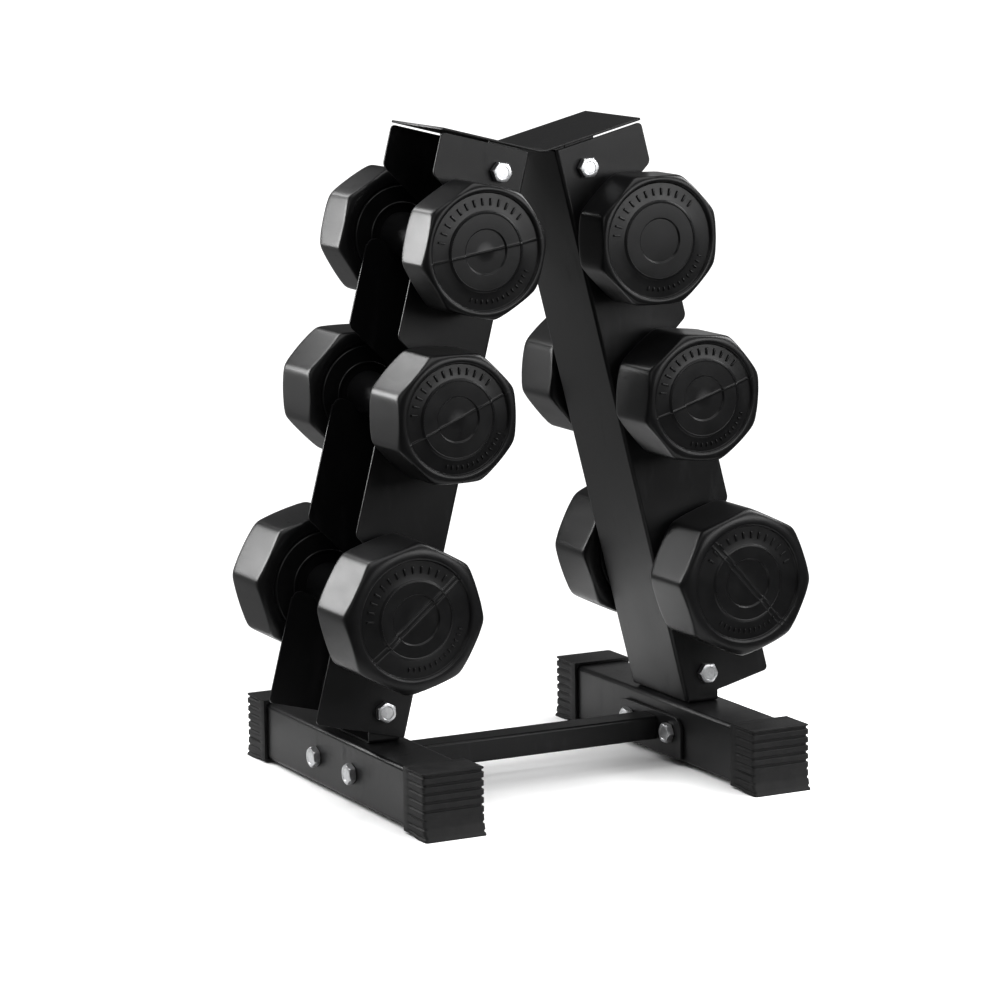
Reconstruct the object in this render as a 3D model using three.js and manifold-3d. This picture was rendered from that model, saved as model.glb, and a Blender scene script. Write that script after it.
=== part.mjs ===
// A-frame dumbbell rack with six octagonal dumbbells, in millimetres, +Z up.
// +X runs from the left tower to the right one, -Y is the front. The origin is
// on the floor, in the middle of the rack.
import * as THREE from 'three';
import { mergeVertices } from 'three/addons/utils/BufferGeometryUtils.js';
import Module from 'manifold-3d';

const wasm = await Module();
wasm.setup();

// ---- driving dimensions ----------------------------------------------------

const GAP = 0.3;                  // air between two pieces that touch
const PAST = 1;                   // how far a cut or a join runs past its face

const TUBE = 60;                  // foot tube, width and height
const TUBE_WALL = 2.5;
const TUBE_BOTTOM = 4;            // above the floor, on its end caps
const TUBE_HALF = 206;            // half length of a foot tube
const FOOT_X = 185;               // middle of each foot from the middle plane

const CAP_WALL = 3.5;
const CAP_START = 168;            // open edge of an end cap, from the middle
const CAP_FACE = 213;             // upper part of its end face
const CAP_TOE = 218;              // its lower edge reaches further out
const CAP_GROOVES = 5;
const CAP_GROOVE_PITCH = 8.6;
const CAP_GROOVE_WIDTH = 2.4;
const CAP_GROOVE_DEPTH = 1.6;
const CAP_FIRST_GROOVE = 3;       // middle of the top groove below the cap's top
const CAP_BEVEL = 2;              // top edge of the end face
const CAP_MOUTH_LIFT = 0.6;       // open edge above the floor
const CAP_MOUTH_SLOPE = 12;       // length over which the underside comes down to it
const CAP_SWELL = [20, 1.5, 10];  // the face leaves the upright here, by this, at this height
const CAP_TOE_THICK = 3;

const BAR_WIDTH = 32;             // crossbar tube
const BAR_HEIGHT = 25;
const BAR_WALL = 2;
const BAR_MIDDLE = 32.5;          // height of its axis
const PLATE_THICK = 4;            // end plates of the crossbar
const PLATE_HALF = 66;
const PLATE_BOTTOM = 7;
const PLATE_TOP = 51;
const PLATE_CORNER = 14;

const SHEET = 2.5;                // uprights, brackets and top joiner
const LEAN = THREE.MathUtils.degToRad(14.3);
const TOWER_HALF = 58.5;          // outer face of a flange from the middle plane
const TOWER_DEPTH = 101.3;        // from the toothed edge to the web
const TOWER_LENGTH = 601.5;
const TOWER_TOP_X = 112.5;        // toothed edge at the top of the right tower
const TOWER_TOP_Z = 674.6;

const TIER_DOWN = [107, 273, 474]; // dumbbell axes, down the tower from its top
const AXIS_IN = 42.5;             // and in from the toothed edge
const MOUTH_RISE = 73;            // top of a notch above the dumbbell axis
const LIP_DROP = 1;               // top of its lip below the axis
const LIP_CORNER = 7;
const CUT_CLEAR = 30;             // a notch's cutting outline runs this far past the edge
const RAMP = THREE.MathUtils.degToRad(29);
const SEAT_CLEARANCE = 0.5;

const JOINER_GAP = 2;             // top joiner above the cut ends of the towers
const EAR_HALF = 17;              // half width of each bolted ear
const TOP_BOLT_IN = 72;           // from the toothed edge
const TOP_BOLT_DOWN = 26;         // from the top of the tower
const TOP_EAR_DOWN = 44;
const LOW_BOLT_X = 186;
const LOW_BOLT_Z = 96.5;
const LOW_EAR_TOP = 114;

const BOLT_RADIUS = 6;
const HOLE_RADIUS = 6.4;
const HEX_ACROSS = 19;            // across the flats of a head or nut
const HEAD_THICK = 7.5;
const NUT_THICK = 9;
const FOOT_BOLT_Y = 43;
const FOOT_BOLT_Z = 33;
const HEX_SIDES = 6;
const BORE_SIDES = 12;            // facets of a shaft or a hole
const BOLT_STICKS_OUT = 3;        // thread beyond its nut

const HANDLE_RADIUS = 16.7;
const COLLAR_RADIUS = 20.5;
const COLLAR_LENGTH = 8;
const COLLAR_FLARE = 2;           // wider where it meets the head
const HEAD_START = 68.5;          // inner face of every head from the middle
const PLUG_RADIUS = 21.5;
const PLUG_THICK = 4;
const PLUG_DEPTH = 1.2;           // its face below the face of the head
const SKIN = 3;                   // plastic around the cement filling
const HEAD_CHAMFER = 7;
const HEAD_SIDES = 8;
const RIM_OVER = 2;               // the turned chamfer starts outside the flats by this
const ROUND_SIDES = 16;           // facets of a handle, collar or plug
const ARC_SEGMENTS = 4;           // facets of an arc in an extruded outline

// one entry per tier, top to bottom: head size, its length, how each is turned
const DUMBBELLS = [
  { tier: 'top', apothem: 65, length: 56, left: 13, right: 22.5 },
  { tier: 'middle', apothem: 64, length: 72.5, left: 29, right: 18 },
  { tier: 'bottom', apothem: 72, length: 74.5, left: 42, right: -42 },
];

// ---- materials ---------------------------------------------------------------

const material = (color, roughness, metalness) =>
  new THREE.MeshStandardMaterial({ color, roughness, metalness });
const POWDER_COAT = material(0x1a1a1b, 0.48, 0.3);
const CAP_RUBBER = material(0x222223, 0.75, 0);
const ZINC = material(0xc9ccd0, 0.3, 1);
const VINYL = material(0x161617, 0.38, 0);
const PLUG_VINYL = material(0x131314, 0.45, 0);
const CEMENT = material(0x8b8a86, 0.9, 0);

// ---- solids ------------------------------------------------------------------

function toSolid(geometry) {
  const bare = geometry.clone();
  bare.deleteAttribute('normal');
  bare.deleteAttribute('uv');
  const merged = mergeVertices(bare, 1e-4);
  return new wasm.Manifold(new wasm.Mesh({
    numProp: 3,
    vertProperties: new Float32Array(merged.attributes.position.array),
    triVerts: new Uint32Array(merged.index.array),
  }));
}

function toGeometry(solid) {
  const mesh = solid.getMesh();
  const geometry = new THREE.BufferGeometry();
  geometry.setAttribute('position', new THREE.BufferAttribute(mesh.vertProperties, 3));
  geometry.setIndex(new THREE.BufferAttribute(mesh.triVerts, 1));
  geometry.computeVertexNormals();
  return geometry;
}

// a box from its lowest to its highest corner
function box(x0, x1, y0, y1, z0, z1) {
  const geometry = new THREE.BoxGeometry(x1 - x0, y1 - y0, z1 - z0);
  geometry.translate((x0 + x1) / 2, (y0 + y1) / 2, (z0 + z1) / 2);
  return toSolid(geometry);
}

// an outline in the XZ plane, extruded from y0 to y1
function slabXZ(shape, y0, y1) {
  const geometry = new THREE.ExtrudeGeometry(shape, {
    depth: y1 - y0, bevelEnabled: false, curveSegments: ARC_SEGMENTS,
  });
  geometry.rotateX(Math.PI / 2);
  geometry.translate(0, y1, 0);
  return toSolid(geometry);
}

// an outline in the YZ plane, extruded from x0 to x1
function slabYZ(shape, x0, x1) {
  const geometry = new THREE.ExtrudeGeometry(shape, {
    depth: x1 - x0, bevelEnabled: false, curveSegments: ARC_SEGMENTS,
  });
  geometry.rotateX(Math.PI / 2);
  geometry.rotateZ(Math.PI / 2);
  geometry.translate(x0, 0, 0);
  return toSolid(geometry);
}

// a cylinder or prism along Y
function rodY(radius, y0, y1, x, z, sides) {
  const geometry = new THREE.CylinderGeometry(radius, radius, y1 - y0, sides);
  geometry.translate(0, (y0 + y1) / 2, 0);
  geometry.translate(x, 0, z);
  return toSolid(geometry);
}

// the same along X
function rodX(radius, x0, x1, y, z, sides) {
  const geometry = new THREE.CylinderGeometry(radius, radius, x1 - x0, sides);
  geometry.rotateZ(-Math.PI / 2);
  geometry.translate((x0 + x1) / 2, y, z);
  return toSolid(geometry);
}

function outline(points) {
  return new THREE.Shape(points.map(([a, b]) => new THREE.Vector2(a, b)));
}

const MIRROR_X = new THREE.Matrix4().makeScale(-1, 1, 1).toArray();
const MIRROR_Y = new THREE.Matrix4().makeScale(1, -1, 1).toArray();
const SIDES = [
  { side: 'left', sign: -1 },
  { side: 'right', sign: 1 },
];
const ENDS = [
  { end: 'front', sign: -1 },
  { end: 'rear', sign: 1 },
];

// solids are drawn for +X and +Y, and mirrored to the other side
function toSide(solid, sign) {
  return sign < 0 ? solid.transform(MIRROR_X) : solid;
}

function toEnd(solid, sign) {
  return sign < 0 ? solid.transform(MIRROR_Y) : solid;
}

// ---- the tower's own directions ------------------------------------------------

// a point of the right tower: inward from the toothed edge, down from the top
function onTower(inward, down) {
  return [
    TOWER_TOP_X + down * Math.sin(LEAN) - inward * Math.cos(LEAN),
    TOWER_TOP_Z - down * Math.cos(LEAN) - inward * Math.sin(LEAN),
  ];
}

// x of the toothed edge at a height
function edgeAt(z) {
  return TOWER_TOP_X + (TOWER_TOP_Z - z) * Math.tan(LEAN);
}

const AXES = TIER_DOWN.map((down) => onTower(AXIS_IN, down));

// the cut-out that holds one handle: a slope, a wall, a round seat and a lip
function notch([x, z]) {
  const seat = HANDLE_RADIUS + SEAT_CLEARANCE;
  const mouthZ = z + MOUTH_RISE;
  const mouthX = edgeAt(mouthZ);
  const wallX = x - seat;
  const lipZ = z - LIP_DROP;
  const lipX = edgeAt(lipZ);
  const rampEndX = x + seat * Math.sin(RAMP);
  const rampEndZ = z - seat * Math.cos(RAMP);
  const shape = new THREE.Shape();
  shape.moveTo(mouthX + CUT_CLEAR, mouthZ + CUT_CLEAR);
  shape.lineTo(wallX, mouthZ - (mouthX - wallX));
  shape.lineTo(wallX, z);
  shape.absarc(x, z, seat, Math.PI, Math.PI * 1.5 + RAMP, false);
  shape.lineTo(rampEndX + (lipZ - rampEndZ) / Math.tan(RAMP), lipZ);
  shape.lineTo(lipX - LIP_CORNER, lipZ);
  shape.quadraticCurveTo(lipX, lipZ, lipX + LIP_CORNER * Math.tan(LEAN), lipZ - LIP_CORNER);
  shape.lineTo(lipX + CUT_CLEAR, lipZ - LIP_CORNER);
  return shape;
}

// ---- rack pieces ---------------------------------------------------------------

function footTube() {
  const x0 = FOOT_X - TUBE / 2;
  const x1 = FOOT_X + TUBE / 2;
  const z1 = TUBE_BOTTOM + TUBE;
  let tube = box(x0, x1, -TUBE_HALF, TUBE_HALF, TUBE_BOTTOM, z1);
  tube = tube.subtract(box(x0 + TUBE_WALL, x1 - TUBE_WALL,
    -TUBE_HALF - PAST, TUBE_HALF + PAST, TUBE_BOTTOM + TUBE_WALL, z1 - TUBE_WALL));
  for (const y of [-FOOT_BOLT_Y, FOOT_BOLT_Y]) {
    tube = tube.subtract(
      rodX(HOLE_RADIUS, x0 - PAST, x1 + PAST, y, FOOT_BOLT_Z, BORE_SIDES));
  }
  return tube;
}

// the push-on end cap of the right foot, at its +Y end
function endCap() {
  const top = TUBE_BOTTOM + TUBE + CAP_WALL;
  const points = [
    [CAP_START, CAP_MOUTH_LIFT], [CAP_START, top], [CAP_FACE - CAP_BEVEL, top],
  ];
  for (let i = 0; i < CAP_GROOVES; i += 1) {
    const z = top - CAP_FIRST_GROOVE - i * CAP_GROOVE_PITCH;
    points.push([CAP_FACE, z + CAP_GROOVE_WIDTH / 2]);
    points.push([CAP_FACE - CAP_GROOVE_DEPTH, z]);
    points.push([CAP_FACE, z - CAP_GROOVE_WIDTH / 2]);
  }
  const [swellTop, swell, swellLow] = CAP_SWELL;
  points.push([CAP_FACE, swellTop], [CAP_FACE + swell, swellLow]);
  points.push([CAP_TOE, CAP_TOE_THICK], [CAP_TOE, 0], [CAP_START + CAP_MOUTH_SLOPE, 0]);
  const half = TUBE / 2 + CAP_WALL;
  const socket = TUBE / 2 + GAP;
  return slabYZ(outline(points), FOOT_X - half, FOOT_X + half)
    .subtract(box(FOOT_X - socket, FOOT_X + socket, CAP_START - PAST, TUBE_HALF + GAP,
      TUBE_BOTTOM - GAP, TUBE_BOTTOM + TUBE + GAP));
}

const PLATE_OUTER = FOOT_X - TUBE / 2 - GAP;
const PLATE_INNER = PLATE_OUTER - PLATE_THICK;

function crossbar() {
  const end = PLATE_INNER - GAP;
  const z0 = BAR_MIDDLE - BAR_HEIGHT / 2;
  const z1 = BAR_MIDDLE + BAR_HEIGHT / 2;
  return box(-end, end, -BAR_WIDTH / 2, BAR_WIDTH / 2, z0, z1)
    .subtract(box(-end - PAST, end + PAST,
      -BAR_WIDTH / 2 + BAR_WALL, BAR_WIDTH / 2 - BAR_WALL, z0 + BAR_WALL, z1 - BAR_WALL));
}

function crossbarPlate() {
  const shape = new THREE.Shape();
  shape.moveTo(-PLATE_HALF, PLATE_BOTTOM);
  shape.lineTo(PLATE_HALF, PLATE_BOTTOM);
  shape.lineTo(PLATE_HALF, PLATE_TOP - PLATE_CORNER);
  shape.absarc(PLATE_HALF - PLATE_CORNER, PLATE_TOP - PLATE_CORNER, PLATE_CORNER,
    0, Math.PI / 2, false);
  shape.absarc(-PLATE_HALF + PLATE_CORNER, PLATE_TOP - PLATE_CORNER, PLATE_CORNER,
    Math.PI / 2, Math.PI, false);
  let plate = slabYZ(shape, PLATE_INNER, PLATE_OUTER);
  for (const y of [-FOOT_BOLT_Y, FOOT_BOLT_Y]) {
    plate = plate.subtract(rodX(HOLE_RADIUS, PLATE_INNER - PAST, PLATE_OUTER + PAST,
      y, FOOT_BOLT_Z, BORE_SIDES));
  }
  return plate;
}

const TOP_BOLT = onTower(TOP_BOLT_IN, TOP_BOLT_DOWN);

// one bent sheet: a web and two toothed flanges, open to the outside
function upright() {
  const flange = outline([
    onTower(0, 0), onTower(TOWER_DEPTH, 0),
    onTower(TOWER_DEPTH, TOWER_LENGTH), onTower(0, TOWER_LENGTH),
  ]);
  const web = outline([
    onTower(TOWER_DEPTH - SHEET, 0), onTower(TOWER_DEPTH, 0),
    onTower(TOWER_DEPTH, TOWER_LENGTH), onTower(TOWER_DEPTH - SHEET, TOWER_LENGTH),
  ]);
  let solid = slabXZ(web, -TOWER_HALF, TOWER_HALF)
    .add(slabXZ(flange, TOWER_HALF - SHEET, TOWER_HALF))
    .add(slabXZ(flange, -TOWER_HALF, -TOWER_HALF + SHEET));
  for (const axis of AXES) {
    solid = solid.subtract(slabXZ(notch(axis), -TOWER_HALF - PAST, TOWER_HALF + PAST));
  }
  for (const [x, z] of [TOP_BOLT, [LOW_BOLT_X, LOW_BOLT_Z]]) {
    solid = solid.subtract(
      rodY(HOLE_RADIUS, -TOWER_HALF - PAST, TOWER_HALF + PAST, x, z, BORE_SIDES));
  }
  return solid;
}

const EAR_OUTER = TOWER_HALF - SHEET - GAP;
const EAR_INNER = EAR_OUTER - SHEET;

// the U bracket welded on the foot, its two ears inside the flanges
function footBracket() {
  const z0 = TUBE_BOTTOM + TUBE + GAP;
  const x0 = FOOT_X - EAR_HALF;
  const x1 = FOOT_X + EAR_HALF;
  const side = new THREE.Shape();
  side.moveTo(-EAR_OUTER, z0);
  side.lineTo(EAR_OUTER, z0);
  side.lineTo(EAR_OUTER, LOW_EAR_TOP);
  side.lineTo(EAR_INNER, LOW_EAR_TOP);
  side.lineTo(EAR_INNER, z0 + SHEET);
  side.lineTo(-EAR_INNER, z0 + SHEET);
  side.lineTo(-EAR_INNER, LOW_EAR_TOP);
  side.lineTo(-EAR_OUTER, LOW_EAR_TOP);
  return slabYZ(side, x0, x1)
    .subtract(rodY(HOLE_RADIUS, -EAR_OUTER - PAST, EAR_OUTER + PAST,
      LOW_BOLT_X, LOW_BOLT_Z, BORE_SIDES));
}

// the V plate over both towers, with an ear inside each of the four flanges
function topJoiner() {
  const under = -JOINER_GAP;
  const over = -JOINER_GAP - SHEET;
  const outerLow = onTower(0, under);
  const outerHigh = onTower(0, over);
  const valleyAt = (down) => {
    const [x, z] = onTower(0, down);
    return z - x * Math.tan(LEAN);
  };
  const plate = outline([
    outerLow, outerHigh, [0, valleyAt(over)], [-outerHigh[0], outerHigh[1]],
    [-outerLow[0], outerLow[1]], [0, valleyAt(under)],
  ]);
  let solid = slabXZ(plate, -TOWER_HALF, TOWER_HALF);
  const ear = outline([
    onTower(TOP_BOLT_IN - EAR_HALF, under - SHEET / 2),
    onTower(TOP_BOLT_IN + EAR_HALF, under - SHEET / 2),
    onTower(TOP_BOLT_IN + EAR_HALF, TOP_EAR_DOWN),
    onTower(TOP_BOLT_IN - EAR_HALF, TOP_EAR_DOWN),
  ]);
  for (const side of SIDES) {
    for (const end of ENDS) {
      const piece = slabXZ(ear, EAR_INNER, EAR_OUTER)
        .subtract(rodY(HOLE_RADIUS, EAR_INNER - PAST, EAR_OUTER + PAST,
          ...TOP_BOLT, BORE_SIDES));
      solid = solid.add(toEnd(toSide(piece, side.sign), end.sign));
    }
  }
  return solid;
}

// ---- fasteners -------------------------------------------------------------------

const HEX_RADIUS = HEX_ACROSS / 2 / Math.cos(Math.PI / 6);

// a bolt through one flange and its ear: its head at +Y, mirrored for the front
function sheetBolt(x, z) {
  const head = TOWER_HALF + GAP;
  const tail = EAR_INNER - GAP - NUT_THICK - BOLT_STICKS_OUT;
  return rodY(HEX_RADIUS, head, head + HEAD_THICK, x, z, HEX_SIDES)
    .add(rodY(BOLT_RADIUS, tail, head + PAST, x, z, BORE_SIDES));
}

function sheetNut(x, z) {
  const face = EAR_INNER - GAP;
  return rodY(HEX_RADIUS, face - NUT_THICK, face, x, z, HEX_SIDES)
    .subtract(rodY(BOLT_RADIUS + GAP, face - NUT_THICK - PAST, face + PAST,
      x, z, BORE_SIDES));
}

// a bolt through the right foot and the crossbar's plate, its head at one side
function footBolt(headInside) {
  const inside = PLATE_INNER - GAP;
  const outside = FOOT_X + TUBE / 2 + GAP;
  const tailLength = NUT_THICK + BOLT_STICKS_OUT;
  const head = headInside
    ? rodX(HEX_RADIUS, inside - HEAD_THICK, inside, 0, FOOT_BOLT_Z, HEX_SIDES)
    : rodX(HEX_RADIUS, outside, outside + HEAD_THICK, 0, FOOT_BOLT_Z, HEX_SIDES);
  const shaft = headInside
    ? rodX(BOLT_RADIUS, inside - PAST, outside + tailLength, 0, FOOT_BOLT_Z, BORE_SIDES)
    : rodX(BOLT_RADIUS, inside - tailLength, outside + PAST, 0, FOOT_BOLT_Z, BORE_SIDES);
  return head.add(shaft);
}

function footNut(headInside) {
  const inside = PLATE_INNER - GAP;
  const outside = FOOT_X + TUBE / 2 + GAP;
  const x0 = headInside ? outside : inside - NUT_THICK;
  return rodX(HEX_RADIUS, x0, x0 + NUT_THICK, 0, FOOT_BOLT_Z, HEX_SIDES)
    .subtract(rodX(BOLT_RADIUS + GAP, x0 - PAST, x0 + NUT_THICK + PAST,
      0, FOOT_BOLT_Z, BORE_SIDES));
}

// ---- dumbbells -------------------------------------------------------------------

// half of the dumbbell turned about its axis, from the middle to its face
function headProfile(apothem, length) {
  const face = HEAD_START + length;
  const rim = apothem + RIM_OVER;
  const corner = apothem / Math.cos(Math.PI / HEAD_SIDES);
  return [
    [HANDLE_RADIUS, HEAD_START - COLLAR_LENGTH],
    [COLLAR_RADIUS, HEAD_START - COLLAR_LENGTH],
    [COLLAR_RADIUS + COLLAR_FLARE, HEAD_START],
    [rim - HEAD_CHAMFER, HEAD_START],
    [corner, HEAD_START + HEAD_CHAMFER],
    [corner, face - HEAD_CHAMFER],
    [rim - HEAD_CHAMFER, face],
    [PLUG_RADIUS + GAP, face],
    [PLUG_RADIUS + GAP, face - PLUG_DEPTH],
    [0, face - PLUG_DEPTH],
  ];
}

// an eight-sided prism on the dumbbell's axis, turned so that a corner is at turn
function octagon(apothem, y0, y1, turn) {
  const radius = apothem / Math.cos(Math.PI / HEAD_SIDES);
  const prism = new THREE.CylinderGeometry(radius, radius, y1 - y0, HEAD_SIDES);
  prism.rotateY(THREE.MathUtils.degToRad(90 - turn));
  prism.translate(0, (y0 + y1) / 2, 0);
  return toSolid(prism);
}

// the space that the cement fills, or with inset GAP the filling itself
function filling({ apothem, length }, turn, inset) {
  const wall = PLUG_DEPTH + PLUG_THICK + GAP;
  const y0 = HEAD_START + SKIN + inset;
  const y1 = HEAD_START + length - wall - inset;
  const across = apothem - SKIN - HEAD_CHAMFER - inset;
  return octagon(across, y0, y1, turn)
    .add(octagon(across, -y1, -y0, turn))
    .add(rodY(HANDLE_RADIUS - SKIN - inset, -y0 - PAST, y0 + PAST, 0, 0, ROUND_SIDES));
}

// the moulded skin, filled through a hole in its rear face
function dumbbellShell(spec, turn) {
  const half = headProfile(spec.apothem, spec.length);
  const mirrored = half.map(([r, y]) => [r, -y]).reverse();
  const profile = [...mirrored, ...half].map(([r, y]) => new THREE.Vector2(r, y));
  const turned = toSolid(new THREE.LatheGeometry(profile, ROUND_SIDES));
  const face = HEAD_START + spec.length;
  return turned
    .intersect(octagon(spec.apothem, -face - PAST, face + PAST, turn))
    .subtract(filling(spec, turn, 0))
    .subtract(rodY(PLUG_RADIUS + GAP, face - PLUG_DEPTH - PLUG_THICK - GAP - PAST,
      face + PAST, 0, 0, ROUND_SIDES));
}

// the round plug that closes the filling hole
function plug(face) {
  const outer = face - PLUG_DEPTH;
  return rodY(PLUG_RADIUS, outer - PLUG_THICK, outer, 0, 0, ROUND_SIDES);
}

// ---- assembly --------------------------------------------------------------------

const rack = new THREE.Group();

function addPiece(name, solid, look, parent = rack) {
  const mesh = new THREE.Mesh(toGeometry(solid), look);
  mesh.name = name;
  parent.add(mesh);
  return mesh;
}

for (const { side, sign } of SIDES) {
  addPiece(`foot.${side}.tube`, toSide(footTube(), sign), POWDER_COAT);
  for (const { end, sign: endSign } of ENDS) {
    addPiece(`foot.${side}.cap_${end}`, toEnd(toSide(endCap(), sign), endSign), CAP_RUBBER);
  }
  addPiece(`crossbar.plate_${side}`, toSide(crossbarPlate(), sign), POWDER_COAT);
  addPiece(`upright.${side}`, toSide(upright(), sign), POWDER_COAT);
  addPiece(`bracket.${side}`, toSide(footBracket(), sign), POWDER_COAT);
}
addPiece('crossbar.tube', crossbar(), POWDER_COAT);
addPiece('top.joiner', topJoiner(), POWDER_COAT);

for (const { side, sign } of SIDES) {
  for (const { end, sign: endSign } of ENDS) {
    const place = (solid) => toEnd(toSide(solid, sign), endSign);
    addPiece(`bolt.top_${side}_${end}`, place(sheetBolt(...TOP_BOLT)), ZINC);
    addPiece(`nut.top_${side}_${end}`, place(sheetNut(...TOP_BOLT)), ZINC);
    addPiece(`bolt.low_${side}_${end}`, place(sheetBolt(LOW_BOLT_X, LOW_BOLT_Z)), ZINC);
    addPiece(`nut.low_${side}_${end}`, place(sheetNut(LOW_BOLT_X, LOW_BOLT_Z)), ZINC);
    // the left foot's bolts go in from outside, the right foot's from inside
    const headInside = side === 'right';
    const shift = [0, FOOT_BOLT_Y * endSign, 0];
    addPiece(`bolt.foot_${side}_${end}`,
      toSide(footBolt(headInside), sign).translate(shift), ZINC);
    addPiece(`nut.foot_${side}_${end}`,
      toSide(footNut(headInside), sign).translate(shift), ZINC);
  }
}

DUMBBELLS.forEach((spec, tier) => {
  const [x, z] = AXES[tier];
  for (const { side, sign } of SIDES) {
    const dumbbell = new THREE.Group();
    dumbbell.position.set(x * sign, 0, z);
    const name = `dumbbell.${spec.tier}_${side}`;
    addPiece(`${name}.shell`, dumbbellShell(spec, spec[side]), VINYL, dumbbell);
    addPiece(`${name}.filling`, filling(spec, spec[side], GAP), CEMENT, dumbbell);
    addPiece(`${name}.plug`, plug(HEAD_START + spec.length), PLUG_VINYL, dumbbell);
    rack.add(dumbbell);
  }
});

export default rack;
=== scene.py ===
"""A-frame dumbbell rack with six octagonal dumbbells: the looks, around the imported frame.

Everything is in metres, +Z up. +X runs from the left tower to the right one and -Y is the front.
"""
import math
import random

import bpy
from mathutils import Matrix, Vector


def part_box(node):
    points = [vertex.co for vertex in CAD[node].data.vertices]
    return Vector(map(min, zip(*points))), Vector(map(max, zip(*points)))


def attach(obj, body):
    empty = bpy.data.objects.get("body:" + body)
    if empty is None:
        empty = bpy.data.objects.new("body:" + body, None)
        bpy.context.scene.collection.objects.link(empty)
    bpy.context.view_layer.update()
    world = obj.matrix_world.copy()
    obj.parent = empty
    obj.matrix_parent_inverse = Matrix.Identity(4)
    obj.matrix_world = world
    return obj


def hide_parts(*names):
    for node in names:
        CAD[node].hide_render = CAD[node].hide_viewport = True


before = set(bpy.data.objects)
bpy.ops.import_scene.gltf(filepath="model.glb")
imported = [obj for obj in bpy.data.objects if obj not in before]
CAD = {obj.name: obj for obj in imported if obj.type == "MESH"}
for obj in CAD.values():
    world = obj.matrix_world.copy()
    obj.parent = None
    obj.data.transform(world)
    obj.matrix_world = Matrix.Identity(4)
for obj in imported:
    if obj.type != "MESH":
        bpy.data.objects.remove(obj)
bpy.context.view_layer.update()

MM = 0.001
SIDES = {"left": -1, "right": 1}
ENDS = {"front": -1, "rear": 1}
TIERS = ("top", "middle", "bottom")


# ---- camera and studio -----------------------------------------------------------

CAMERA_AT = (-1.8754, -3.6465, 0.9907)
AZIMUTH = math.radians(-27.99)
ELEVATION = math.radians(9.28)
ROLL = math.radians(-0.5)
LENS = 145.5
SHIFT = (-0.0736, -0.0330)


def add_camera():
    back = Vector((math.sin(AZIMUTH) * math.cos(ELEVATION),
                   -math.cos(AZIMUTH) * math.cos(ELEVATION),
                   math.sin(ELEVATION)))
    right = Vector((math.cos(AZIMUTH), math.sin(AZIMUTH), 0))
    up = back.cross(right)
    turned_right = math.cos(ROLL) * right + math.sin(ROLL) * up
    turned_up = -math.sin(ROLL) * right + math.cos(ROLL) * up
    data = bpy.data.cameras.new("camera")
    data.lens = LENS
    data.shift_x, data.shift_y = SHIFT
    camera = bpy.data.objects.new("camera", data)
    turn = Matrix((turned_right, turned_up, back)).transposed()
    camera.matrix_world = Matrix.Translation(CAMERA_AT) @ turn.to_4x4()
    bpy.context.scene.collection.objects.link(camera)
    bpy.context.scene.camera = camera


MIDDLE = Vector((0, 0, 0.34))


def add_softbox(name, place, size, radiance):
    """A rectangular light that faces the rack, as bright as its radiance."""
    place = Vector(place)
    data = bpy.data.lights.new(name, "AREA")
    data.shape = "RECTANGLE"
    data.size, data.size_y = size
    data.energy = radiance * math.pi * size[0] * size[1]
    light = bpy.data.objects.new(name, data)
    aim = (MIDDLE - place).to_track_quat("-Z", "Y")
    light.matrix_world = Matrix.Translation(place) @ aim.to_matrix().to_4x4()
    light.visible_camera = False
    bpy.context.scene.collection.objects.link(light)


def add_lights():
    add_softbox("left_back", (-0.78, 0.88, 0.67), (0.44, 0.58), 15.0)
    add_softbox("high_back", (-0.36, 0.92, 1.06), (0.40, 0.30), 8.0)
    add_softbox("right_back", (1.5, 1.9, 0.9), (0.7, 1.2), 0.5)
    add_softbox("front", (0.95, -1.95, 0.86), (1.8, 0.70), 8.5)
    add_softbox("right_top", (1.25, -0.25, 1.30), (0.8, 0.8), 14.0)
    add_softbox("left", (-1.9, -0.5, 1.35), (1.0, 1.0), 2.5)
    sun = bpy.data.lights.new("ceiling", "SUN")
    sun.energy = 3.4
    sun.angle = math.radians(70)
    light = bpy.data.objects.new("ceiling", sun)
    light.matrix_world = Matrix.Rotation(math.radians(8), 4, "X")
    bpy.context.scene.collection.objects.link(light)
    add_world()


ROOM = 0.15                   # what reflections find beyond the floor, and low behind it
ROOM_LOW = 0.5
WHITE = 1.2                   # bright enough to stay white to the camera


def add_world():
    """A dim room that shows as white, seen with a little contrast."""
    world = bpy.data.worlds.new("studio")
    world.use_nodes = True
    tree = world.node_tree
    background = tree.nodes["Background"]
    background.inputs["Color"].default_value = (1, 1, 1, 1)
    direction = tree.nodes.new("ShaderNodeSeparateXYZ")
    place = tree.nodes.new("ShaderNodeTexCoord")
    tree.links.new(place.outputs["Generated"], direction.inputs[0])
    behind = map_range(tree, direction.outputs["Y"], (-0.2, 0.4), (ROOM, ROOM_LOW))
    room = map_range(tree, direction.outputs["Z"], (-0.03, 0.03), (behind, ROOM))
    path = tree.nodes.new("ShaderNodeLightPath")
    strength = map_range(tree, path.outputs["Is Camera Ray"], (0, 1), (room, WHITE))
    tree.links.new(strength, background.inputs["Strength"])
    bpy.context.scene.world = world
    view = bpy.context.scene.view_settings
    view.view_transform = "Standard"
    view.gamma = 0.86


def map_range(tree, value, before, after):
    """A Map Range node whose limits are numbers or sockets."""
    node = tree.nodes.new("ShaderNodeMapRange")
    tree.links.new(value, node.inputs["Value"])
    limits = zip(("From Min", "From Max", "To Min", "To Max"), (*before, *after))
    for key, limit in limits:
        if isinstance(limit, (int, float)):
            node.inputs[key].default_value = limit
        else:
            tree.links.new(limit, node.inputs[key])
    return node.outputs["Result"]


# ---- shader maths ----------------------------------------------------------------

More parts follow.
